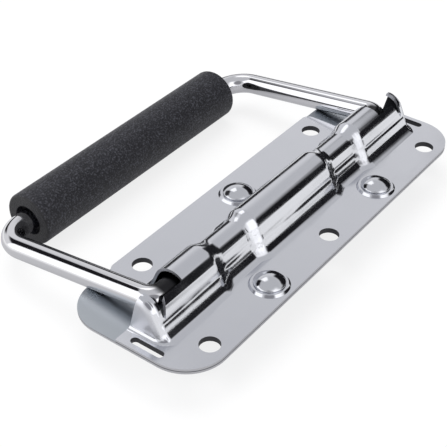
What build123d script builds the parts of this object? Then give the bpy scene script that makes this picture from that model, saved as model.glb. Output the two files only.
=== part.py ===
"""Spring-loaded folding handle for a chest or an equipment case.

Two thin steel sheets lie on each other. The upper one is pressed into a long ridge, the
housing, in which the two ends of a round-bar bail turn. Two torsion springs in the middle
of the ridge push the bail down. Three rivets hold the sheets together, and five holes take
the screws. X runs along the ridge, +Y points to the grip, and Z points out of the panel
that the handle is screwed to. The origin is the middle of the back face.
"""
from build123d import *
from math import asin, atan2, cos, degrees, hypot, radians, sin, tan
import os

# Sheets
plate_length = 165.0
plate_width = 55.0
plate_corner_radius = 14.5
base_thickness = 1.0
cover_thickness = 1.0
sheet_top = base_thickness + cover_thickness

# Screw holes
screw_hole_diameter = 7.0
left_hole_spacing = 101.0
left_hole_offset = 19.8
right_hole_spacing = 133.8
right_hole_offset = 20.9

# Ridge of the cover, and the bar that turns in it
bar_diameter = 8.0
pivot_height = 8.8
running_gap = 0.08
spring_room = 1.7
flank_angle = 66.0
hollow_radius = 4.5
skirt_angle = 22.0
foot_radius = 1.5
middle_block_half = 20.5
neck_start = 26.5
neck_end = 39.0
end_block_start = 45.5
ramp_steps = 6
ridge_half_length = 75.8
ridge_end_radius = 3.0

# Windows at the ridge's ends, through which the bail swings
window_start = 59.2
bar_side_gap = 0.6
window_right_gap = 0.5
notch_top_start = 67.0
notch_bottom_start = 71.2
notch_bottom_height = 8.2
corner_cut_y = 3.4
corner_cut_top_y = -0.3
corner_cut_radius = 3.0

# Drain slot beside each end of the ridge
slot_length = 12.6
slot_width = 2.8
slot_inset = 3.2
slot_offset = -6.6

# Bail and grip
arm_offset = 67.5
bail_reach = 70.0
pivot_bend_radius = 8.0
grip_bend_radius = 10.5
bar_tip = 6.5
rest_gap = 0.1
grip_diameter = 20.0
grip_length = 108.0
grip_end_radius = 1.2
grip_mouth_diameter = 11.5
grip_mouth_depth = 3.0
grip_fit = 0.02

# Cradles in the lower sheet, under the necks
cradle_length = 9.0
cradle_depth = 1.5
cradle_gap = 0.15

# Springs
wire_diameter = 1.2
coil_gap = 0.3
coil_pitch = 1.4
coil_turns = 5
spring_start = 11.0
wire_hole_gap = 0.2
spring_leg_gap = 0.1

# Rivets and their raised bosses
left_rivet_offset = 17.8
right_rivet_offset = 19.4
right_rivet_spacing = 66.8
rivet_head_diameter = 11.4
rivet_head_height = 3.0
rivet_shank_diameter = 5.0
rivet_tail_diameter = 8.0
rivet_tail_height = 0.7
rivet_fit = 0.02
boss_diameter = 14.0
boss_top_diameter = 12.6
boss_height = 0.8
boss_nesting_gap = 0.05

bar_radius = bar_diameter / 2
neck_radius = bar_radius + running_gap + cover_thickness
block_radius = bar_radius + spring_room + cover_thickness
flank = radians(flank_angle)
skirt = radians(skirt_angle)
below = 2 * (base_thickness + cover_thickness)

# The folded bail lies on the base sheet's left edge: its angle below the sheets
edge_y = plate_width / 2
edge_drop = pivot_height - base_thickness - rest_gap
edge_distance = hypot(edge_y, edge_drop)
fold_angle = degrees(atan2(edge_drop, edge_y) - asin(bar_radius / edge_distance))

rivet_places = {
    "rivet_left": (0.0, left_rivet_offset),
    "rivet_right_near": (-right_rivet_spacing / 2, -right_rivet_offset),
    "rivet_right_far": (right_rivet_spacing / 2, -right_rivet_offset),
}
screw_places = [
    (-left_hole_spacing / 2, left_hole_offset),
    (left_hole_spacing / 2, left_hole_offset),
    (-right_hole_spacing / 2, -right_hole_offset),
    (0.0, -right_hole_offset),
    (right_hole_spacing / 2, -right_hole_offset),
]
slot_places = [
    (-(plate_length / 2 - slot_inset), slot_offset),
    (plate_length / 2 - slot_inset, slot_offset),
]


def ridge_section(x, top_radius, inset):
    """The ridge's cross-section at x, down through the sheets. An inset gives its inner side.

    On each side a steep flank runs down into a hollow curve, and that into a shallow skirt.
    """
    radius = top_radius - inset
    hollow = hollow_radius + inset
    line = (top_radius + (pivot_height - sheet_top) * cos(flank)) / sin(flank)
    middle_y = line + hollow_radius * tan(flank / 2)
    middle_z = sheet_top + hollow_radius
    curve = []
    for angle in (flank, (flank + skirt) / 2, skirt):
        curve.append((middle_y - hollow * sin(angle), middle_z - hollow * cos(angle)))
    skirt_y = curve[2][0] + (curve[2][1] + below) / tan(skirt)
    right_side = [(radius * sin(flank), pivot_height + radius * cos(flank))] + curve
    right_side.append((skirt_y, -below))
    left_side = [(-y, z) for y, z in right_side]
    with BuildSketch(Plane.YZ.offset(x)) as section:
        with BuildLine():
            ThreePointArc(left_side[0], (0, pivot_height + radius), right_side[0])
            for points in (left_side, right_side):
                Line(points[0], points[1])
                ThreePointArc(points[1], points[2], points[3])
                Line(points[3], points[4])
            Line(left_side[4], right_side[4])
        make_face()
    return section.sketch


def ramp(start, end, first_radius, last_radius, inset):
    """Sections along an S-shaped ramp between a block and a neck."""
    sections = []
    for step in range(ramp_steps + 1):
        share = step / ramp_steps
        eased = share * share * (3 - 2 * share)
        radius = first_radius + (last_radius - first_radius) * eased
        sections.append(ridge_section(start + (end - start) * share, radius, inset))
    return sections


def ridge_form(inset):
    """A block with the ridge on it, to the cover's outer side or, with an inset, its inner side."""
    end = ridge_half_length - inset
    floor = sheet_top - inset
    straights = [(-middle_block_half, middle_block_half, block_radius)]
    ramps = []
    for side in (-1, 1):
        straights.append((side * neck_start, side * neck_end, neck_radius))
        straights.append((side * end_block_start, side * end, block_radius))
        inner = (side * middle_block_half, side * neck_start, block_radius, neck_radius, inset)
        outer = (side * neck_end, side * end_block_start, neck_radius, block_radius, inset)
        ramps.append(ramp(*inner))
        ramps.append(ramp(*outer))
    bars = []
    for start, stop, radius in straights:
        bars.append([ridge_section(start, radius, inset), ridge_section(stop, radius, inset)])
    with BuildPart() as form:
        for sections in bars:
            loft(sections, ruled=True)
        for sections in ramps:
            loft(sections)
        # The ends of the ridge are rounded over, and its foot all round, as pressing leaves them
        for end_face in (form.faces().sort_by(Axis.X)[0], form.faces().sort_by(Axis.X)[-1]):
            rim = end_face.edges().filter_by(lambda edge: (edge @ 0.5).Z > -below)
            fillet(rim, ridge_end_radius - inset)
        with BuildSketch(Plane.XY.offset(-below)):
            Rectangle(2 * plate_length, 2 * plate_width)
        extrude(amount=below + floor)
        foot = form.edges().filter_by(lambda edge: on_ridge_foot(edge, floor))
        fillet(foot, foot_radius + inset)
        # Nothing is kept below the sheet that the ridge is pressed from
        with BuildSketch(Plane.XY.offset(floor - cover_thickness)):
            RectangleRounded(plate_length, plate_width, plate_corner_radius)
        extrude(amount=pivot_height + 2 * block_radius, mode=Mode.INTERSECT)
    return form.part


def on_ridge_foot(edge, floor):
    """Whether an edge of the block with the ridge lies at the ridge's foot."""
    middle = edge @ 0.5
    inside = abs(middle.X) < plate_length / 2 and abs(middle.Y) < plate_width / 2
    return inside and abs(middle.Z - floor) < 0.001


window_end = arm_offset + bar_radius + bar_side_gap
window_right = -(bar_radius + window_right_gap)
ridge_top = pivot_height + block_radius
outer_form = ridge_form(0.0)
inner_form = ridge_form(cover_thickness)

# The upper sheet: the housing with its ridge, windows and corner cut-outs
with BuildPart() as housing_cover:
    add(outer_form)
    with Locations([(x, y, sheet_top) for x, y in rivet_places.values()]):
        Cone(
            boss_diameter / 2,
            boss_top_diameter / 2,
            boss_height,
            align=(Align.CENTER, Align.CENTER, Align.MIN),
        )
    add(inner_form, mode=Mode.SUBTRACT)
    with Locations([(x, y, base_thickness) for x, y in rivet_places.values()]):
        Cone(
            boss_diameter / 2 - cover_thickness,
            boss_top_diameter / 2 - cover_thickness,
            boss_height,
            align=(Align.CENTER, Align.CENTER, Align.MIN),
            mode=Mode.SUBTRACT,
        )
    # Each left corner is cut away, so that the bail's arm folds down to the lower sheet.
    # The cut leans over the bar, along the line where the bail's bend comes out of the hood
    for side in (-1, 1):
        with BuildSketch(Plane.YZ.offset(side * window_start)):
            with BuildLine():
                Polyline(
                    (corner_cut_y, base_thickness),
                    (corner_cut_y, sheet_top),
                    (corner_cut_top_y, ridge_top + 1),
                    (plate_width, ridge_top + 1),
                    (plate_width, base_thickness),
                    close=True,
                )
            make_face()
        extrude(amount=side * plate_length, mode=Mode.SUBTRACT)
    tongue_corners = housing_cover.edges().filter_by(Axis.Z).group_by(Axis.Y)[-1]
    fillet(tongue_corners, corner_cut_radius)
    # The window over each bend of the bail, through which the arm swings up
    with BuildSketch(Plane.XY.offset(base_thickness)):
        for side in (-1, 1):
            with Locations((side * (window_start + window_end) / 2, (window_right + plate_width) / 2)):
                Rectangle(window_end - window_start, plate_width - window_right)
    extrude(amount=ridge_top, mode=Mode.SUBTRACT)
    # The window narrows to a notch down the right flank
    with BuildSketch(Plane.XZ.offset(-window_right)):
        for side in (-1, 1):
            with BuildLine():
                Polyline(
                    (side * notch_top_start, ridge_top + 1),
                    (side * window_end, ridge_top + 1),
                    (side * window_end, notch_bottom_height + 1),
                    (side * notch_bottom_start, notch_bottom_height),
                    close=True,
                )
            make_face()
    extrude(amount=plate_width / 2, mode=Mode.SUBTRACT)
    with BuildSketch(Plane.XY):
        with Locations(slot_places):
            SlotOverall(slot_length, slot_width, rotation=90)
        with Locations(screw_places):
            Circle(screw_hole_diameter / 2)
        with Locations(list(rivet_places.values())):
            Circle(rivet_shank_diameter / 2)
    extrude(amount=ridge_top, mode=Mode.SUBTRACT)
housing_cover.part.label = "housing_cover"

# The lower sheet, with a cradle pressed up under each neck to carry the bar
cradle_middle = (neck_start + neck_end) / 2
cradle_top = pivot_height - cradle_depth
cradle_floor = pivot_height - bar_radius - running_gap - base_thickness


def cradle_half_width(height, inset):
    """Half the cradle's width at a height, along the inner side of the neck's flank."""
    reach = bar_radius + running_gap - cradle_gap - inset
    return (reach + (pivot_height - height) * cos(flank)) / sin(flank)


with BuildPart() as base_plate:
    with BuildSketch():
        RectangleRounded(plate_length, plate_width, plate_corner_radius)
    extrude(amount=base_thickness)
    nested = cover_thickness + boss_nesting_gap
    with Locations([(x, y, base_thickness) for x, y in rivet_places.values()]):
        Cone(
            boss_diameter / 2 - nested,
            boss_top_diameter / 2 - nested,
            boss_height,
            align=(Align.CENTER, Align.CENTER, Align.MIN),
        )
    with Locations([(x, y, 0) for x, y in rivet_places.values()]):
        Cone(
            boss_diameter / 2 - nested,
            boss_top_diameter / 2 - nested,
            boss_height,
            align=(Align.CENTER, Align.CENTER, Align.MIN),
            mode=Mode.SUBTRACT,
        )
    for side in (-1, 1):
        start = side * cradle_middle - cradle_length / 2
        with BuildSketch(Plane.YZ.offset(start)):
            with BuildLine():
                low = cradle_half_width(0, 0)
                high = cradle_half_width(cradle_top, 0)
                Polyline((-low, 0), (-high, cradle_top), (high, cradle_top), (low, 0), close=True)
            make_face()
            with Locations((0, pivot_height)):
                Circle(bar_radius + running_gap, mode=Mode.SUBTRACT)
        extrude(amount=cradle_length)
        with BuildSketch(Plane.YZ.offset(start + base_thickness)):
            with BuildLine():
                low = cradle_half_width(0, base_thickness)
                high = cradle_half_width(cradle_floor, base_thickness)
                Polyline((-low, 0), (-high, cradle_floor), (high, cradle_floor), (low, 0), close=True)
            make_face()
        extrude(amount=cradle_length - 2 * base_thickness, mode=Mode.SUBTRACT)
    with BuildSketch():
        with Locations(slot_places):
            SlotOverall(slot_length, slot_width, rotation=90)
        with Locations(screw_places):
            Circle(screw_hole_diameter / 2)
        with Locations(list(rivet_places.values())):
            Circle(rivet_shank_diameter / 2)
    extrude(amount=2 * sheet_top, mode=Mode.SUBTRACT)
base_plate.part.label = "base_plate"

# The bail, drawn in its own plane, which tilts about the pivot line
tilt = radians(fold_angle)
bail_plane = Plane(origin=(0, 0, pivot_height), x_dir=(1, 0, 0), z_dir=(0, sin(tilt), cos(tilt)))
wire_radius = wire_diameter / 2
coil_radius = bar_radius + coil_gap + wire_radius

with BuildPart() as bail:
    with BuildLine(bail_plane) as bail_path:
        FilletPolyline(
            (-bar_tip, 0),
            (-arm_offset, 0),
            (-arm_offset, bail_reach),
            (arm_offset, bail_reach),
            (arm_offset, 0),
            (bar_tip, 0),
            radius=[pivot_bend_radius, grip_bend_radius, grip_bend_radius, pivot_bend_radius],
        )
    with BuildSketch(Plane.YZ.offset(-bar_tip)):
        with Locations((0, pivot_height)):
            Circle(bar_radius)
    sweep(path=bail_path.wire())
    # A cross hole near each tip takes the inner leg of a spring
    with BuildSketch(Plane.XY.offset(pivot_height)):
        with Locations((-spring_start, 0), (spring_start, 0)):
            Circle(wire_radius + wire_hole_gap)
    extrude(amount=2 * bar_radius, both=True, mode=Mode.SUBTRACT)
bail.part.label = "bail"

grip_y = bail_reach * cos(tilt)
grip_z = pivot_height - bail_reach * sin(tilt)
with BuildPart() as grip:
    with BuildSketch(Plane.YZ.offset(-grip_length / 2)):
        with Locations((grip_y, grip_z)):
            Circle(grip_diameter / 2)
    extrude(amount=grip_length)
    rims = grip.edges().filter_by(GeomType.CIRCLE)
    fillet(rims, grip_end_radius)
    with BuildSketch(Plane.YZ.offset(-grip_length / 2)):
        with Locations((grip_y, grip_z)):
            Circle(bar_radius + grip_fit)
    extrude(amount=grip_length, mode=Mode.SUBTRACT)
    # A wider mouth at each end clears the bar
    with BuildSketch(Plane.YZ.offset(-grip_length / 2), Plane.YZ.offset(grip_length / 2 - grip_mouth_depth)):
        with Locations((grip_y, grip_z)):
            Circle(grip_mouth_diameter / 2)
    extrude(amount=grip_mouth_depth, mode=Mode.SUBTRACT)
grip.part.label = "grip"


with BuildPart() as spring_far:
    with BuildLine() as wire_path:
        coil = Helix(
            coil_pitch,
            coil_pitch * (coil_turns + 0.25),
            coil_radius,
            center=(spring_start, 0, pivot_height),
            direction=(1, 0, 0),
            lefthand=True,
        )
        Line(coil @ 1, coil @ 1 + (coil % 1) * (pivot_height - base_thickness - spring_leg_gap))
    with BuildSketch(Plane(origin=coil @ 0, z_dir=coil % 0)):
        Circle(wire_radius)
    sweep(path=wire_path.wire())
    # The inner leg goes into the bar's cross hole
    with BuildSketch(Plane.XY.offset(pivot_height - bar_radius / 2)):
        with Locations((spring_start, 0)):
            Circle(wire_radius)
    extrude(amount=bar_radius / 2 + coil_radius + wire_radius)
spring_far.part.label = "spring_far"

with BuildPart() as spring_near:
    add(spring_far.part.mirror(Plane.YZ))
spring_near.part.label = "spring_near"


def rivet(x, y):
    """A domed rivet through both bosses, its tail sunk in the lower sheet's back."""
    tail_bottom = boss_height - rivet_tail_height
    head_base = sheet_top + boss_height
    shank = rivet_shank_diameter / 2 - rivet_fit
    head = rivet_head_diameter / 2
    dome = (head * head + rivet_head_height * rivet_head_height) / (2 * rivet_head_height)
    dome_middle = (head * sin(radians(45)), 0)
    plane = Plane(origin=(x, y, 0), x_dir=(1, 0, 0), z_dir=(0, -1, 0))
    with BuildPart() as body:
        with BuildSketch(plane):
            with BuildLine():
                Line((0, tail_bottom), (rivet_tail_diameter / 2, tail_bottom))
                Line((rivet_tail_diameter / 2, tail_bottom), (rivet_tail_diameter / 2, boss_height))
                Line((rivet_tail_diameter / 2, boss_height), (shank, boss_height))
                Line((shank, boss_height), (shank, head_base))
                Line((shank, head_base), (head, head_base))
                RadiusArc((head, head_base), (0, head_base + rivet_head_height), -dome)
                Line((0, head_base + rivet_head_height), (0, tail_bottom))
            make_face()
        revolve(axis=Axis((x, y, 0), (0, 0, 1)))
    return body.part


parts = {
    "base_plate": base_plate.part,
    "housing_cover": housing_cover.part,
    "bail": bail.part,
    "grip": grip.part,
    "spring_near": spring_near.part,
    "spring_far": spring_far.part,
}
for name, (x, y) in rivet_places.items():
    parts[name] = rivet(x, y)
    parts[name].label = name

os.makedirs("parts", exist_ok=True)
for name, part in parts.items():
    export_step(part, "parts/" + name + ".step")
print("folded bail is", round(fold_angle, 2), "degrees below the sheets")
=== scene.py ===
# %% [markdown]
# # A spring-loaded chest handle
#
# The solids of this handle come packed as a fixed frame: two riveted sheets, a bail of round
# bar, a grip, two springs and three rivets. This lesson dresses them. It sets up a studio in
# which bright plating looks bright, gives each piece its own finish, makes the rivets and the
# bail again where a rule asks for more than the solids give, and copies the springs.
# %% Load the frame
import math

import bmesh
import bpy
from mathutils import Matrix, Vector


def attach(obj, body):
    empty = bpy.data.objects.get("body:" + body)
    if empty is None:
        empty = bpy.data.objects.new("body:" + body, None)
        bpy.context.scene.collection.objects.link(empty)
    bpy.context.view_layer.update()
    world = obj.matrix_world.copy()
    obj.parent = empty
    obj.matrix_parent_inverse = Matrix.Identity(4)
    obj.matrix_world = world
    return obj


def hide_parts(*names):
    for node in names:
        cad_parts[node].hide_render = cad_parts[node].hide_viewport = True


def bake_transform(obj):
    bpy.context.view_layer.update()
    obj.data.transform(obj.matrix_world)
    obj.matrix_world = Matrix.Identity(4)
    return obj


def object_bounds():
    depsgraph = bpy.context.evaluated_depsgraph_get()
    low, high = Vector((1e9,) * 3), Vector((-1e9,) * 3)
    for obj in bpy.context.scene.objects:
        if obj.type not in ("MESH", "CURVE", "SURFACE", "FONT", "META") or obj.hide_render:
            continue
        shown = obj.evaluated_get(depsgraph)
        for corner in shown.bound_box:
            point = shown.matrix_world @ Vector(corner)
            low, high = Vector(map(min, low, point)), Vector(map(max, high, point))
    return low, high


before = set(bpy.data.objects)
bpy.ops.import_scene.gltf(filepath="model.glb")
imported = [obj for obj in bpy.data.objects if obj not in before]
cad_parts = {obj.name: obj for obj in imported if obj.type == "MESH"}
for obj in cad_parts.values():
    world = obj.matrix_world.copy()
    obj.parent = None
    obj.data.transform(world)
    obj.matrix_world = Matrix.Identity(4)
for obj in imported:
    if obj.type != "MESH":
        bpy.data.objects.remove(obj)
MM = 0.001
sheet_top = 2.0 * MM
pivot_height = 8.8 * MM
weld_distance = 0.01 * MM


def plain_box(box):
    return [list(corner) for corner in box]


def rgb(red, green, blue):
    """A colour with its alpha."""
    return (red, green, blue, 1.0)


cad_box = plain_box(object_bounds())
print("solids:", sorted(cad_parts))

# %% [markdown]
# ## The camera
#
# The handle is seen from above one end of its ridge, with a longish lens. The camera's place
# was found by fitting the plate's edges, its five holes and the grip to the photograph.
# A distance, a direction and a lens say all of it, so the camera is built from those.
# %% Camera
camera_turn = math.radians(-53.08)
camera_rise = math.radians(37.85)
camera_distance = 378.74 * MM
aim = Vector((-14.75, 13.13, 0.0)) * MM
towards_camera = Vector(
    (
        math.sin(camera_turn) * math.cos(camera_rise),
        -math.cos(camera_turn) * math.cos(camera_rise),
        math.sin(camera_rise),
    )
)
lens = bpy.data.cameras.new("photo_view")
lens.sensor_width = 36.0
lens.lens = 87.45
lens.clip_start = 0.01
camera = bpy.data.objects.new("photo_view", lens)
bpy.context.scene.collection.objects.link(camera)
camera.location = aim + towards_camera * camera_distance
camera.rotation_euler = towards_camera.to_track_quat("Z", "Y").to_euler()
bpy.context.scene.camera = camera
print("camera at", [round(c, 3) for c in camera.location])

# %% [markdown]
# ## The studio
#
# A bright metal has hardly any look of its own: it shows what stands around it. So the studio
# is made first. Real cards and lamps could stand round the handle, but they would show in views
# from other sides. So the world's own material draws them by direction: a pale ceiling that
# greys towards its middle, dark cards, bright windows, and white for whatever looks past.
# %% Small helpers for building node trees


class Nodes:
    """Adds nodes to a tree from left to right and links them."""

    def __init__(self, tree):
        self.tree = tree
        self.column = 0

    def add(self, kind, inputs=None, **settings):
        node = self.tree.nodes.new(kind)
        node.location = (self.column, 0)
        self.column += 200
        for name, value in settings.items():
            setattr(node, name, value)
        for name, value in (inputs or {}).items():
            self.feed(node, name, value)
        return node

    def feed(self, node, name, value):
        socket = node.inputs[name]
        if isinstance(value, bpy.types.NodeSocket):
            self.tree.links.new(value, socket)
        else:
            socket.default_value = value

    def math(self, operation, first, second=0.0):
        node = self.add("ShaderNodeMath", {0: first, 1: second}, operation=operation)
        return node.outputs[0]

    def product(self, first, second):
        return self.math("MULTIPLY", first, second)

    def ramp(self, value, low, high):
        """0 below low, 1 above high, and smooth between. With low above high it is turned."""
        node = self.add(
            "ShaderNodeMapRange",
            {"Value": value, "From Min": low, "From Max": high},
            interpolation_type="SMOOTHSTEP",
        )
        return node.outputs["Result"]

    def mix(self, factor, first, second):
        node = self.add("ShaderNodeMix", {0: factor, 6: first, 7: second}, data_type="RGBA")
        return node.outputs[2]

    def split(self, vector):
        """The three coordinates of a vector."""
        node = self.add("ShaderNodeSeparateXYZ", {"Vector": vector})
        return node.outputs["X"], node.outputs["Y"], node.outputs["Z"]

    def vector(self, x=0.0, y=0.0, z=0.0):
        return self.add("ShaderNodeCombineXYZ", {"X": x, "Y": y, "Z": z}).outputs[0]

    def place(self):
        """Where a point lies in its piece's own coordinates."""
        return self.add("ShaderNodeTexCoord").outputs["Object"]

    def lean(self):
        """Which way a face looks, in its piece's own coordinates."""
        return self.add("ShaderNodeTexCoord").outputs["Normal"]

    def noise(self, vector, scale, detail, roughness=0.5):
        node = self.add(
            "ShaderNodeTexNoise",
            {"Vector": vector, "Scale": scale, "Detail": detail, "Roughness": roughness},
        )
        return node.outputs["Fac"]


def new_material(name):
    """An empty material, and the helper that fills its tree."""
    material = bpy.data.materials.new(name)
    material.use_nodes = True
    material.node_tree.nodes.clear()
    return material, Nodes(material.node_tree)


def new_group(name, inputs, outputs):
    """An empty shader group with number sockets, the helper that fills it, and its inputs."""
    group = bpy.data.node_groups.new(name, "ShaderNodeTree")
    for label, value in inputs.items():
        socket = group.interface.new_socket(label, in_out="INPUT", socket_type="NodeSocketFloat")
        socket.default_value = value
    for label in outputs:
        group.interface.new_socket(label, in_out="OUTPUT", socket_type="NodeSocketFloat")
    nodes = Nodes(group)
    return group, nodes, nodes.add("NodeGroupInput").outputs


# %% The world, drawn by direction
world = bpy.data.worlds.new("studio")
world.use_nodes = True
bpy.context.scene.world = world
world.node_tree.nodes.clear()
studio = Nodes(world.node_tree)
look = studio.add("ShaderNodeTexCoord").outputs["Generated"]
look_x, look_y, look_z = studio.split(look)
turn = studio.math("DEGREES", studio.math("ARCTAN2", look_y, look_x))
rise = studio.math("DEGREES", studio.math("ARCSINE", look_z))

pale_ceiling = rgb(0.82, 0.82, 0.84)
grey_ceiling = rgb(0.62, 0.625, 0.65)
soft_white = rgb(1.0, 1.0, 1.0)
lamp_white = rgb(1.45, 1.45, 1.47)
near_black = rgb(0.012, 0.012, 0.014)
dim_grey = rgb(0.30, 0.30, 0.32)


def between(value, low, high):
    """1 between two limits and 0 outside. Each limit is a place and its own blur."""
    first = studio.ramp(value, low[0] - low[1], low[0] + low[1])
    second = studio.ramp(value, high[0] + high[1], high[0] - high[1])
    return studio.product(first, second)


# Each card: turn from and to, rise from and to, all in degrees with a blur, and its colour. A
# turn of 0 looks along the ridge away from the camera, 90 towards the grip, -90 away from it
cards = {
    "dark_wall": ((-66, 8), (20, 4), (-2, 1), (34, 9), near_black),
    "dark_skirting": ((14, 3), (80, 6), (3, 2), (17, 3), near_black),
    "side_frame": ((78, 4), (116, 2), (26, 4), (50, 3), near_black),
    "side_window": ((115, 2), (176, 3), (0, 1), (47, 2), lamp_white),
    "front_window": ((-140, 15), (-74, 18), (-2, 1), (60, 8), lamp_white),
    "dark_door": ((-30, 6), (18, 6), (20, 2), (39, 4), near_black),
    "slim_lamp": ((46, 4), (78, 4), (44, 3), (66, 3), lamp_white),
}
ceiling_greying = (28, 52)
sky = studio.mix(studio.ramp(rise, *ceiling_greying), pale_ceiling, grey_ceiling)
for left, right, low, high, colour in cards.values():
    card = studio.product(between(turn, left, right), between(rise, low, high))
    sky = studio.mix(card, sky, colour)

# The photographer and the camera stand as a darker patch in the room
patch_range = (0.88, 0.96)
back = studio.add("ShaderNodeVectorMath", {0: look, 1: towards_camera}, operation="DOT_PRODUCT")
patch = studio.ramp(back.outputs["Value"], *patch_range)
sky = studio.mix(patch, sky, dim_grey)

horizon_blur = 1.0
sky = studio.mix(studio.ramp(rise, horizon_blur, -horizon_blur), sky, soft_white)
to_camera = studio.add("ShaderNodeLightPath").outputs["Is Camera Ray"]
sky = studio.mix(to_camera, sky, soft_white)
background = studio.add("ShaderNodeBackground", {"Color": sky, "Strength": 1.0})
studio.add("ShaderNodeOutputWorld", {"Surface": background.outputs[0]})
print("cards round the handle:", ", ".join(cards))

# %% [markdown]
# ## The floor
#
# A white sheet of paper lies under the handle, at the lowest point of the grip. A plain matt
# sheet would turn grey in the picture. So for the camera most of it is a plain white, and only
# a trace of the shadow stays. Reflections see a painted shadow, a grey oval in its glow close to
# the handle, which gives the round bar its grey lower edge. It is stage, not a part of the handle.
# %% Floor
floor_gap = 0.2 * MM
floor_height = cad_box[0][2] - floor_gap
floor_reach = 3.0
floor_mesh = bpy.data.meshes.new("floor")
floor_mesh.from_pydata(
    [
        (-floor_reach, -floor_reach, floor_height),
        (floor_reach, -floor_reach, floor_height),
        (floor_reach, floor_reach, floor_height),
        (-floor_reach, floor_reach, floor_height),
    ],
    [],
    [(0, 1, 2, 3)],
)
floor = bpy.data.objects.new("floor", floor_mesh)
bpy.context.scene.collection.objects.link(floor)

# The painted shadow round the handle is an oval, longer along the ridge, round the whole folded
# handle
plain_share = 0.8
paper_white, painted_shadow_grey = rgb(0.95, 0.95, 0.95), rgb(0.52, 0.52, 0.54)
oval_middle_y = 0.026
oval_squeeze_x = 0.67
oval_range = (0.16, 0.07)
paper, sheet = new_material("white_paper")
path = sheet.add("ShaderNodeLightPath").outputs
seen = sheet.math("MAXIMUM", path["Is Camera Ray"], path["Is Glossy Ray"])
floor_x, floor_y, _ = sheet.split(sheet.place())
across = sheet.math("POWER", sheet.product(floor_x, oval_squeeze_x), 2.0)
along = sheet.math("POWER", sheet.math("SUBTRACT", floor_y, oval_middle_y), 2.0)
away = sheet.math("SQRT", sheet.math("ADD", across, along))
# Painted shadow: glossy rays see the paper's glow grey in an oval round the handle
painted_shadow = sheet.product(sheet.ramp(away, *oval_range), path["Is Glossy Ray"])
painted_shadow_tint = sheet.mix(painted_shadow, soft_white, painted_shadow_grey)
matt = sheet.add("ShaderNodeBsdfDiffuse", {"Color": paper_white})
plain = sheet.add("ShaderNodeEmission", {"Color": painted_shadow_tint, "Strength": 1.0})
both = sheet.add(
    "ShaderNodeMixShader",
    {0: sheet.product(seen, plain_share), 1: matt.outputs[0], 2: plain.outputs[0]},
)
sheet.add("ShaderNodeOutputMaterial", {"Surface": both.outputs[0]})
floor_mesh.materials.append(paper)
print("floor at", round(floor_height / MM, 2), "mm")

# %% [markdown]
# ## Two lamps
#
# The world alone lights the handle from all sides, so the black grip would look flat. Two soft
# square lamps give it a lighter upper side and the floor its shadow. They don't show in the
# plating, which has its cards.
# %% Lamps
# Each lamp: its edge in metres, its power in watts, and its place in metres
for lamp_name, size, power, place in (
    ("ceiling_lamp", 0.8, 6.0, (0.35, 0.35, 0.9)),
    ("side_lamp", 0.5, 3.0, (-0.7, 0.5, 0.45)),
):
    light = bpy.data.lights.new(lamp_name, "AREA")
    light.size = size
    light.energy = power
    lamp = bpy.data.objects.new(lamp_name, light)
    bpy.context.scene.collection.objects.link(lamp)
    lamp.location = place
    lamp.rotation_euler = (-Vector(place)).to_track_quat("-Z", "Y").to_euler()
    lamp.visible_glossy = False
    print(lamp_name, "at", place)

# %% [markdown]
# ## Plated finishes
#
# The sheets, the bar and the rivets are steel with a bright plating. Close up such a plating
# is never quite even: the sheet under it is faintly wavy from rolling, and handling leaves
# fine hairlines. A picture of scratches would repeat itself. One node group makes both by
# rule instead, and each material takes it at its own scale.
# %% A shared group: waviness and hairlines
# Here and below, each range is the value at which a ramp starts and the one at which it ends
blotch_range, blotch_share = (0.3, 0.7), 0.6
hairline_range, hairline_share = (0.55, 0.75), 0.4
hairline_stretch = (0.12, 1.0, 1.0)
hairline_height = -0.02
marks, inside, given = new_group(
    "plating_marks",
    {"Wave Size": 60.0, "Hairline Size": 900.0, "Low Roughness": 0.08, "High Roughness": 0.2},
    ("Roughness", "Height"),
)
where = inside.place()
waves = inside.noise(where, given["Wave Size"], 2.0)
stretch = inside.add("ShaderNodeMapping", {"Vector": where, "Scale": hairline_stretch})
hairs = inside.noise(stretch.outputs[0], given["Hairline Size"], 3.0)
hairline = inside.ramp(hairs, *hairline_range)
blotch = inside.product(inside.ramp(waves, *blotch_range), blotch_share)
amount = inside.math("ADD", blotch, inside.product(hairline, hairline_share))
rough = inside.add(
    "ShaderNodeMapRange",
    {"Value": amount, "To Min": given["Low Roughness"], "To Max": given["High Roughness"]},
)
height = inside.math("ADD", waves, inside.product(hairline, hairline_height))
inside.add("NodeGroupOutput", {"Roughness": rough.outputs["Result"], "Height": height})
print("group", marks.name)

# %% [markdown]
# ## Cut, pressed and inner faces
#
# The holes and slots are punched and the outline is sheared, so the plating is thin and dull
# there. The walls of a small hole see hardly any light, so they take a painted shade. The two
# sheets meet in a seam, painted dark as the shade in its gap. The ridge's inner side is unlit and
# takes a painted shade too. The press marks the ridge's flanks, and it stretches the end walls to
# a haze. Each kind of face could have its own material, but a pressing is one mesh. So a second
# group finds the faces from where they lie and which way they look.
# %% A shared group: which kind of face
hole_places = [(-50.5, 19.8), (50.5, 19.8), (-66.9, -20.9), (0.0, -20.9), (66.9, -20.9)]
hole_reach = 3.6 * MM
slot_places = [(-79.3, -6.6), (79.3, -6.6)]
slot_reach_x, slot_reach_y = 1.5 * MM, 6.4 * MM
over_sheet = sheet_top * 1.01
seam_range = (0.22 * MM, 0.08 * MM)
upright_range = (0.4, 0.2)

# Above this height the sheet is ridge, and beyond this place along it, an end wall
ridge_range = (2.5 * MM, 3.5 * MM)
end_wall_start = 74.0 * MM
# An inner face looks back at least this far, to the bar's axis or to the ridge's middle
inward_to_axis, inward_from_end = -1.0 * MM, -40.0 * MM
most_upward = 0.1
flank_range, sideways_range, end_wall_range = (0.96, 0.75), (0.4, 0.2), (0.6, 0.9)

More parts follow.
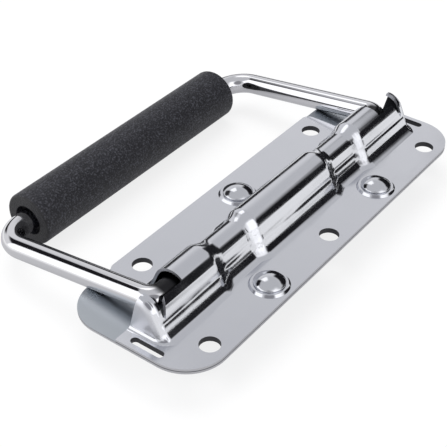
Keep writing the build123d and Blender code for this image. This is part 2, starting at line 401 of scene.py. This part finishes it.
faces, finder, _ = new_group(
    "face_finder",
    {},
    ("Hole Shade", "Sheared Edge", "Seam", "Inner Shade", "Drawn", "Stretched"),
)
x, y, z = finder.split(finder.place())
lean_x, lean_y, lean_z = finder.split(finder.lean())
upright = finder.ramp(finder.math("ABSOLUTE", lean_z), *upright_range)
cut = finder.product(upright, finder.math("LESS_THAN", z, over_sheet))
from_seam = finder.math("ABSOLUTE", finder.math("SUBTRACT", z, 0.5 * sheet_top))
seam = finder.product(cut, finder.ramp(from_seam, *seam_range))


def off_by(value, middle):
    """How far a coordinate is from a middle given in millimetres."""
    return finder.math("ABSOLUTE", finder.math("SUBTRACT", value, middle * MM))


in_hole = 0.0
for hole_x, hole_y in hole_places:
    across = finder.math("POWER", off_by(x, hole_x), 2.0)
    along = finder.math("POWER", off_by(y, hole_y), 2.0)
    near = finder.math("LESS_THAN", finder.math("ADD", across, along), hole_reach**2)
    in_hole = finder.math("MAXIMUM", in_hole, near)
for slot_x, slot_y in slot_places:
    near_x = finder.math("LESS_THAN", off_by(x, slot_x), slot_reach_x)
    near_y = finder.math("LESS_THAN", off_by(y, slot_y), slot_reach_y)
    in_hole = finder.math("MAXIMUM", in_hole, finder.product(near_x, near_y))

# The ridge's inner side: its faces look back at the bar's axis, or in from an end wall
over_axis = finder.math("SUBTRACT", z, pivot_height)
outward = finder.math("ADD", finder.product(lean_y, y), finder.product(lean_z, over_axis))
to_axis = finder.math("LESS_THAN", outward, inward_to_axis)
to_axis = finder.product(to_axis, finder.math("LESS_THAN", lean_z, most_upward))
at_end = finder.math("GREATER_THAN", finder.math("ABSOLUTE", x), end_wall_start)
from_end = finder.math("LESS_THAN", finder.product(lean_x, x), inward_from_end)
inner = finder.math("MAXIMUM", to_axis, finder.product(at_end, from_end))
inner = finder.product(inner, finder.math("GREATER_THAN", z, over_sheet))

# The ridge's flanks lean to the sides, and its end walls lean along it
on_ridge = finder.ramp(z, *ridge_range)
along_ridge = finder.math("ABSOLUTE", lean_x)
drawn = finder.product(finder.ramp(lean_z, *flank_range), on_ridge)
drawn = finder.product(drawn, finder.ramp(along_ridge, *sideways_range))
stretched = finder.product(finder.ramp(along_ridge, *end_wall_range), on_ridge)
# Where the sheets take a painted shade: the hole walls, the seam and the ridge's inner side
finder.add(
    "NodeGroupOutput",
    {
        "Hole Shade": finder.product(cut, in_hole),
        "Sheared Edge": cut,
        "Seam": seam,
        "Inner Shade": inner,
        "Drawn": drawn,
        "Stretched": stretched,
    },
)
print("group", faces.name, "knows", len(hole_places), "holes and", len(slot_places), "slots")

# %% [markdown]
# ## Draw marks
#
# Where the press pulled the sheet over its tool, on the ridge's flanks, it leaves shallow
# streaks and one broad groove that run along the ridge. They are about a tenth of a millimetre
# deep and show only in what they mirror, so they are made in the finish and not in the mesh.
# %% A shared group: draw marks
streak_depth = 0.3 * MM
streak_stretch = (0.05, 1.0, 1.0)
groove_level, groove_width, groove_share = 7.8 * MM, 1.0 * MM, 0.42
groove_drift, drift_size = 6.0 * MM, 90.0
groove_fading, fading_size = (0.35, 0.6), 55.0
draw_marks, streaker, given = new_group(
    "draw_marks", {"Streak Size": 260.0, "Amount": 1.0}, ("Height",)
)
where = streaker.place()
stretch = streaker.add("ShaderNodeMapping", {"Vector": where, "Scale": streak_stretch})
streaks = streaker.noise(stretch.outputs[0], given["Streak Size"], 1.0)
_, _, level = streaker.split(where)
drift = streaker.math("SUBTRACT", streaker.noise(stretch.outputs[0], drift_size, 1.0), 0.5)
off_groove = streaker.math("SUBTRACT", level, groove_level)
off_groove = streaker.math("SUBTRACT", off_groove, streaker.product(drift, groove_drift))
off_groove = streaker.math("DIVIDE", off_groove, groove_width)
groove = streaker.product(streaker.math("POWER", off_groove, 2.0), -1.0)
fading = streaker.ramp(streaker.noise(where, fading_size, 1.0), *groove_fading)
groove = streaker.product(streaker.math("EXPONENT", groove), fading)
pressed = streaker.math("SUBTRACT", streaks, streaker.product(groove, groove_share))
streaker.add("NodeGroupOutput", {"Height": streaker.product(pressed, given["Amount"])})
print("group", draw_marks.name)

# %% [markdown]
# ## The plated materials
#
# The sheets, the bar, the rivets and the springs are steel at different polish. Each could be
# built by hand, but one function keeps them alike. The sheets add the kinds of face found
# above, with their painted shade. The bar takes a painted shade where it turns inside the
# ridge, which darkens the mouth.
# %% Plated materials
# Painted shade on the seam, hole walls and inner side; the sheared edge's tone is its own
face_tones_and_shade = {
    "Sheared Edge": rgb(0.60, 0.60, 0.62),
    # Painted shade in the gap between the two sheets
    "Seam": rgb(0.10, 0.10, 0.11),
    "Hole Shade": rgb(0.07, 0.07, 0.075),
    # Painted shade on the unlit inner side of the ridge
    "Inner Shade": rgb(0.05, 0.05, 0.055),
}
face_roughness = {"Sheared Edge": 0.45, "Stretched": 0.38}
# Painted shade on the bar inside the ridge: its tone and roughness, and where it fades in
ridge_shade_tone = rgb(0.03, 0.03, 0.032)
ridge_shade_roughness = 0.3
ridge_shade_range = (5.6 * MM, 4.3 * MM)
ridge_shade_end_range = (67.5 * MM, 65.0 * MM)


def plated(name, colour, polish, wave_size, wave_depth, punched=False, ridge_shaded=False):
    """A plated steel: its tone, its roughness from and to, and its waves' size and depth."""
    material, tree = new_material(name)
    detail = tree.add(
        "ShaderNodeGroup",
        {"Wave Size": wave_size, "Low Roughness": polish[0], "High Roughness": polish[1]},
        node_tree=marks,
    )
    roughness = detail.outputs["Roughness"]
    bump = tree.add(
        "ShaderNodeBump",
        {"Height": detail.outputs["Height"], "Strength": 1.0, "Distance": wave_depth},
    )
    if punched:
        kinds = tree.add("ShaderNodeGroup", node_tree=faces).outputs
        for kind, tone in face_tones_and_shade.items():
            colour = tree.mix(kinds[kind], colour, tone)
        for kind, least in face_roughness.items():
            roughness = tree.math("MAXIMUM", roughness, tree.product(kinds[kind], least))
        pulled = tree.add("ShaderNodeGroup", {"Amount": kinds["Drawn"]}, node_tree=draw_marks)
        bump = tree.add(
            "ShaderNodeBump",
            {
                "Height": pulled.outputs["Height"],
                "Strength": 1.0,
                "Distance": streak_depth,
                "Normal": bump.outputs[0],
            },
        )
    # Painted shade where the bar turns inside the ridge, near its axis and past the pivot bend
    if ridge_shaded:
        x, y, z = tree.split(tree.place())
        over = tree.math("POWER", tree.math("SUBTRACT", z, pivot_height), 2.0)
        from_axis = tree.math("SQRT", tree.math("ADD", tree.math("POWER", y, 2.0), over))
        ridge_shade = tree.product(
            tree.ramp(from_axis, *ridge_shade_range),
            tree.ramp(tree.math("ABSOLUTE", x), *ridge_shade_end_range),
        )
        colour = tree.mix(ridge_shade, colour, ridge_shade_tone)
        roughness = tree.math("MAXIMUM", roughness, tree.product(ridge_shade, ridge_shade_roughness))
    shader = tree.add(
        "ShaderNodeBsdfPrincipled",
        {"Base Color": colour, "Metallic": 1.0, "Roughness": roughness, "Normal": bump.outputs[0]},
    )
    tree.add("ShaderNodeOutputMaterial", {"Surface": shader.outputs[0]})
    print("material", name)
    return material


sheet_plating = plated(
    "sheet_plating", rgb(0.69, 0.70, 0.735), (0.10, 0.20), 60.0, 0.06 * MM, punched=True
)
# Base sheet: partly its own duller plating, partly painted shade of the arms over its corners
base_plating = plated(
    "base_plating", rgb(0.45, 0.48, 0.51), (0.26, 0.36), 60.0, 0.06 * MM, punched=True
)
bar_plating = plated(
    "bar_plating", rgb(0.74, 0.74, 0.76), (0.06, 0.12), 80.0, 0.02 * MM, ridge_shaded=True
)
rivet_plating = plated("rivet_plating", rgb(0.68, 0.69, 0.72), (0.08, 0.18), 150.0, 0.03 * MM)
spring_wire = plated("spring_wire", rgb(0.42, 0.42, 0.44), (0.25, 0.45), 200.0, 0.03 * MM)

# %% [markdown]
# ## Black grip
#
# The grip is a thick sleeve of dense black rubber foam. Its skin has a fine even grain with a
# soft sheen, and its cut end faces are darker. Grain this small would need millions of faces,
# so it is bump: fine noise over cell noise.
# %% Grip material
dark_tone, light_tone = rgb(0.003, 0.003, 0.005), rgb(0.008, 0.008, 0.012)
speck_tone, speck_share, speck_range = rgb(0.062, 0.063, 0.076), 0.9, (0.47, 0.66)
end_tone, end_share, end_range = rgb(0.004, 0.004, 0.005), 0.85, (0.5, 0.95)
grain_size, cell_size, cloud_size = 1500.0, 1800.0, 90.0
grain_roughness, cell_share = 0.6, 0.5
grain_depth, grain_strength = 0.3 * MM, 0.8
least_dull, most_dull = 0.40, 0.55
grip_skin, skin = new_material("black_grip")
where = skin.place()
grain = skin.noise(where, grain_size, 4.0, grain_roughness)
cells = skin.add("ShaderNodeTexVoronoi", {"Vector": where, "Scale": cell_size})
cloud = skin.noise(where, cloud_size, 3.0)
speck = skin.product(skin.ramp(grain, *speck_range), speck_share)
facing_x, _, _ = skin.split(skin.lean())
end_face = skin.product(skin.ramp(skin.math("ABSOLUTE", facing_x), *end_range), end_share)
tone = skin.mix(cloud, dark_tone, light_tone)
tone = skin.mix(speck, tone, speck_tone)
tone = skin.mix(end_face, tone, end_tone)
dull = skin.add(
    "ShaderNodeMapRange", {"Value": cloud, "To Min": least_dull, "To Max": most_dull}
)
grain_height = skin.math("ADD", grain, skin.product(cells.outputs["Distance"], cell_share))
bump = skin.add(
    "ShaderNodeBump",
    {"Height": grain_height, "Strength": grain_strength, "Distance": grain_depth},
)
rubber = skin.add(
    "ShaderNodeBsdfPrincipled",
    {"Base Color": tone, "Roughness": dull.outputs["Result"], "Normal": bump.outputs[0]},
)
skin.add("ShaderNodeOutputMaterial", {"Surface": rubber.outputs[0]})
print("material", grip_skin.name)

# %% [markdown]
# ## Pieces grown by rules
#
# Two kinds of piece follow a rule so plainly that a node tree makes them best: three equal
# rivets, and a bar bent along a path. Each tree is run once, on a source that is then removed,
# so the piece that stays is a plain mesh. These helpers do what both trees need.
# %% Helpers for pieces grown by rules
sharp_angle = math.radians(30)


def grow(name, source, build, inputs):
    """Builds a geometry node tree on a source, runs it, and returns a plain mesh object."""
    tree = bpy.data.node_groups.new(name + "_rule", "GeometryNodeTree")
    tree.interface.new_socket("Geometry", in_out="INPUT", socket_type="NodeSocketGeometry")
    for label, value in inputs.items():
        kind = "NodeSocketMaterial" if isinstance(value, bpy.types.Material) else "NodeSocketFloat"
        tree.interface.new_socket(label, in_out="INPUT", socket_type=kind)
    tree.interface.new_socket("Geometry", in_out="OUTPUT", socket_type="NodeSocketGeometry")
    nodes = Nodes(tree)
    given = nodes.add("NodeGroupInput").outputs
    shape = build(nodes, given)
    shape = nodes.add("GeometryNodeRealizeInstances", {"Geometry": shape}).outputs[0]
    dressed = nodes.add(
        "GeometryNodeSetMaterial", {"Geometry": shape, "Material": given["Material"]}
    )
    nodes.add("NodeGroupOutput", {"Geometry": dressed.outputs[0]})

    holder = bpy.data.objects.new(name + "_source", source)
    bpy.context.scene.collection.objects.link(holder)
    modifier = holder.modifiers.new(name + "_rule", "NODES")
    modifier.node_group = tree
    for item in tree.interface.items_tree:
        if item.in_out == "INPUT" and item.name in inputs:
            modifier[item.identifier] = inputs[item.name]
    holder.update_tag()
    bpy.context.view_layer.update()
    evaluated = holder.evaluated_get(bpy.context.evaluated_depsgraph_get())
    mesh = bpy.data.meshes.new_from_object(evaluated)
    mesh.name = name
    bpy.data.objects.remove(holder)
    piece = bpy.data.objects.new(name, mesh)
    bpy.context.scene.collection.objects.link(piece)
    print(name, "has", len(mesh.vertices), "points and", len(mesh.polygons), "faces")
    return piece


def smoothed(nodes, geometry):
    """Smooth shading, with the edges of a larger turn kept sharp."""
    angle = nodes.add("GeometryNodeInputMeshEdgeAngle").outputs[0]
    sharp = nodes.math("GREATER_THAN", angle, sharp_angle)
    smooth = nodes.add("GeometryNodeSetShadeSmooth", {"Geometry": geometry, "Shade Smooth": True})
    edged = nodes.add(
        "GeometryNodeSetShadeSmooth",
        {"Geometry": smooth.outputs[0], "Selection": sharp, "Shade Smooth": False},
        domain="EDGE",
    )
    return edged.outputs[0]


def two_points(nodes, start, offset):
    """Two points, an offset apart."""
    line = nodes.add(
        "GeometryNodeMeshLine", {"Count": 2, "Start Location": start, "Offset": offset}
    )
    return nodes.add("GeometryNodeMeshToPoints", {"Mesh": line.outputs[0]}).outputs[0]


def copies(nodes, points, shape):
    """One copy of a shape at each point."""
    return nodes.add(
        "GeometryNodeInstanceOnPoints", {"Points": points, "Instance": shape}
    ).outputs[0]


# %% [markdown]
# ## The rivets
#
# Three solid rivets hold the two sheets together. A round punch sets each head, which leaves a
# low dome with a round rim, and the tail is spread in the hollow on the back. Three separate
# lathed solids could show them. One profile, turned once and set at three places, says the
# same, and a change to it reaches all three.
# %% The rivets' profile, in millimetres
head_base = 2.8
head_radius = 5.4
rim_round = 0.4
dome_radius = 8.25
shank_radius = 2.48
tail_radius = 4.0
boss_height = 0.8
tail_bottom = 0.1
rim_steps, dome_steps = 9, 14


def arc(middle, radius, first, last, steps):
    """Points on an arc, by angles in degrees."""
    points = []
    for step in range(steps + 1):
        angle = math.radians(first + (last - first) * step / steps)
        points.append((middle[0] + radius * math.cos(angle), middle[1] + radius * math.sin(angle)))
    return points


rim_x = head_radius - rim_round
rim_z = head_base + rim_round
dome_middle = (0.0, rim_z - math.sqrt((dome_radius - rim_round) ** 2 - rim_x**2))
rim_angle = math.degrees(math.atan2(rim_z - dome_middle[1], rim_x))
profile = [(0.0, tail_bottom), (tail_radius, tail_bottom), (tail_radius, boss_height)]
profile += [(shank_radius, boss_height), (shank_radius, head_base)]
profile += arc((rim_x, rim_z), rim_round, -90, rim_angle, rim_steps)
profile += arc(dome_middle, dome_radius, rim_angle, 90, dome_steps)[1:]
rivet_profile = bpy.data.meshes.new("rivet_profile")
rivet_profile.from_pydata([(r * MM, 0.0, z * MM) for r, z in profile], [], [])
print("a rivet's head is", round(profile[-1][1] - head_base, 2), "mm high")


# %% The rivets: the profile turned, and set at three places
def turned_rivets(nodes, given):
    """A grid whose rows are the profile's points is wrapped round the axis, then copied."""
    sides, rows = 64, len(profile)
    grid = nodes.add(
        "GeometryNodeMeshGrid",
        {"Size X": 1.0, "Size Y": 1.0, "Vertices X": sides + 1, "Vertices Y": rows},
    )
    position = nodes.add("GeometryNodeInputPosition").outputs[0]
    column, row, _ = nodes.split(position)
    row = nodes.math("ROUND", nodes.product(nodes.math("ADD", row, 0.5), rows - 1.0))
    point = nodes.add(
        "GeometryNodeSampleIndex",
        {"Geometry": given["Geometry"], "Value": position, "Index": row},
        data_type="FLOAT_VECTOR",
    )
    radius, _, level = nodes.split(point.outputs[0])
    angle = nodes.product(column, 2 * math.pi)
    turned = nodes.vector(
        nodes.product(radius, nodes.math("COSINE", angle)),
        nodes.product(radius, nodes.math("SINE", angle)),
        level,
    )
    body = nodes.add(
        "GeometryNodeSetPosition", {"Geometry": grid.outputs["Mesh"], "Position": turned}
    )
    body = nodes.add(
        "GeometryNodeMergeByDistance", {"Geometry": body.outputs[0], "Distance": weld_distance}
    )

    single = nodes.add(
        "GeometryNodePoints", {"Count": 1, "Position": nodes.vector(y=given["Left Offset"])}
    )
    start = nodes.vector(
        nodes.product(nodes.product(given["Right Spacing"], 0.5), -1.0),
        nodes.product(given["Right Offset"], -1.0),
    )
    pair = two_points(nodes, start, nodes.vector(given["Right Spacing"]))
    places = nodes.add("GeometryNodeJoinGeometry")
    for points in (single.outputs[0], pair):
        nodes.feed(places, 0, points)
    return copies(nodes, places.outputs[0], smoothed(nodes, body.outputs[0]))


rivets = grow(
    "rivets",
    rivet_profile,
    turned_rivets,
    {
        "Left Offset": 17.8 * MM,
        "Right Offset": 19.4 * MM,
        "Right Spacing": 66.8 * MM,
        "Material": rivet_plating,
    },
)
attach(rivets, "plate")
for node in ("rivet_left", "rivet_right_near", "rivet_right_far"):
    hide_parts(node)

# %% [markdown]
# ## The bail
#
# The bail is one steel bar, bent four times. The bending tool leaves tighter corners at the
# pivot than at the grip, and a cross hole near each tip takes a spring's leg. A box model with
# rounded corners would only come near it. Here the bar's middle line is a path of straight
# runs, whose corners are rounded with two radii, and a circle runs along it.
# %% The bail: one bar bent along a path
fold = math.radians(7.590494618512475)
bar_tip = 6.5 * MM
arm_offset = 67.5 * MM
bail_reach = 70.0 * MM
bend_steps, bar_sides = 20, 48
drill_sides, drill_depth = 24, 12.0 * MM
corners = [(-bar_tip, 0.0), (-arm_offset, 0.0), (-arm_offset, bail_reach)]
corners += [(-x, out) for x, out in reversed(corners)]
bail_path = bpy.data.meshes.new("bail_path")
bail_path.from_pydata(
    [(x, out * math.cos(fold), pivot_height - out * math.sin(fold)) for x, out in corners],
    [(i, i + 1) for i in range(len(corners) - 1)],
    [],
)


def bent_bar(nodes, given):
    """The path's outer corners take the pivot's bend and the two middle ones the grip's."""
    line = nodes.add("GeometryNodeMeshToCurve", {"Mesh": given["Geometry"]})
    index = nodes.add("GeometryNodeInputIndex").outputs[0]
    middle = (len(corners) - 1) / 2
    from_middle = nodes.math("ABSOLUTE", nodes.math("SUBTRACT", index, middle))
    at_pivot = nodes.math("GREATER_THAN", from_middle, 1.0)
    less = nodes.math("SUBTRACT", given["Pivot Bend"], given["Grip Bend"])
    bend = nodes.math("ADD", given["Grip Bend"], nodes.product(at_pivot, less))
    rounded = nodes.add(
        "GeometryNodeFilletCurve",
        {"Curve": line.outputs[0], "Count": bend_steps, "Radius": bend},
        mode="POLY",
    )
    ring = nodes.add(
        "GeometryNodeCurvePrimitiveCircle",
        {"Resolution": bar_sides, "Radius": given["Bar Radius"]},
    )
    bar = nodes.add(
        "GeometryNodeCurveToMesh",
        {"Curve": rounded.outputs[0], "Profile Curve": ring.outputs[0], "Fill Caps": True},
    )

    drill = nodes.add(
        "GeometryNodeMeshCylinder",
        {"Vertices": drill_sides, "Radius": given["Hole Radius"], "Depth": drill_depth},
    )
    start = nodes.vector(nodes.product(given["Hole Spacing"], -0.5), z=pivot_height)
    spots = two_points(nodes, start, nodes.vector(given["Hole Spacing"]))
    drills = copies(nodes, spots, drill.outputs["Mesh"])
    drills = nodes.add("GeometryNodeRealizeInstances", {"Geometry": drills})
    drilled = nodes.add(
        "GeometryNodeMeshBoolean",
        {"Mesh 1": bar.outputs[0], "Mesh 2": drills.outputs[0]},
        operation="DIFFERENCE",
    )
    return smoothed(nodes, drilled.outputs[0])


bent = grow(
    "bent_bail",
    bail_path,
    bent_bar,
    {
        "Pivot Bend": 5.0 * MM,
        "Grip Bend": 10.5 * MM,
        "Bar Radius": 4.0 * MM,
        "Hole Radius": 0.8 * MM,
        "Hole Spacing": 22.0 * MM,
        "Material": bar_plating,
    },
)
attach(bent, "bail")
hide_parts("bail")

# %% [markdown]
# ## Springs that twist
#
# A torsion spring joins two bodies: its inner leg sits in the bar's cross hole and turns with
# the bail, and its outer leg rests on the lower sheet. Left rigid, the inner leg would cut
# through the bar when the bail swings. Here each spring is only a copy of its solid, with its
# doubled points merged and its faces shaded smooth.
# %% Springs, copied from their solids
coil_sharp_angle = math.radians(40)
for node, side in (("spring_near", -1.0), ("spring_far", 1.0)):
    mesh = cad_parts[node].data.copy()
    mesh.name = node + "_coil"
    work = bmesh.new()
    work.from_mesh(mesh)
    bmesh.ops.remove_doubles(work, verts=work.verts, dist=weld_distance)
    work.to_mesh(mesh)
    work.free()
    mesh.shade_smooth()
    mesh.set_sharp_from_angle(angle=coil_sharp_angle)
    mesh.materials.clear()
    mesh.materials.append(spring_wire)
    coil = bpy.data.objects.new(node + "_coil", mesh)
    bpy.context.scene.collection.objects.link(coil)
    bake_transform(coil)
    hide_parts(node)

# %% [markdown]
# ## Dressing the solids
#
# The two sheets and the grip stay as packed, since their shapes are right. They only take
# their finish. The replaced solids take theirs too, for whoever shows them again.
# %% Give each solid its finish
finish_of = {
    "base_plate": base_plating,
    "housing_cover": sheet_plating,
    "bail": bar_plating,
    "grip": grip_skin,
    "spring_near": spring_wire,
    "spring_far": spring_wire,
    "rivet_left": rivet_plating,
    "rivet_right_near": rivet_plating,
    "rivet_right_far": rivet_plating,
}
for node, material in finish_of.items():
    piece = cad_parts[node]
    if not piece.material_slots:
        piece.data.materials.append(material)
    for place in piece.material_slots:
        place.material = material
print("dressed", len(finish_of), "solids")

# %% [markdown]
# ## The last settings
#
# The Standard view keeps the paper white and the plating's bright bands crisp, where a film-like
# view would grey both.
bpy.context.scene.view_settings.view_transform = "Standard"
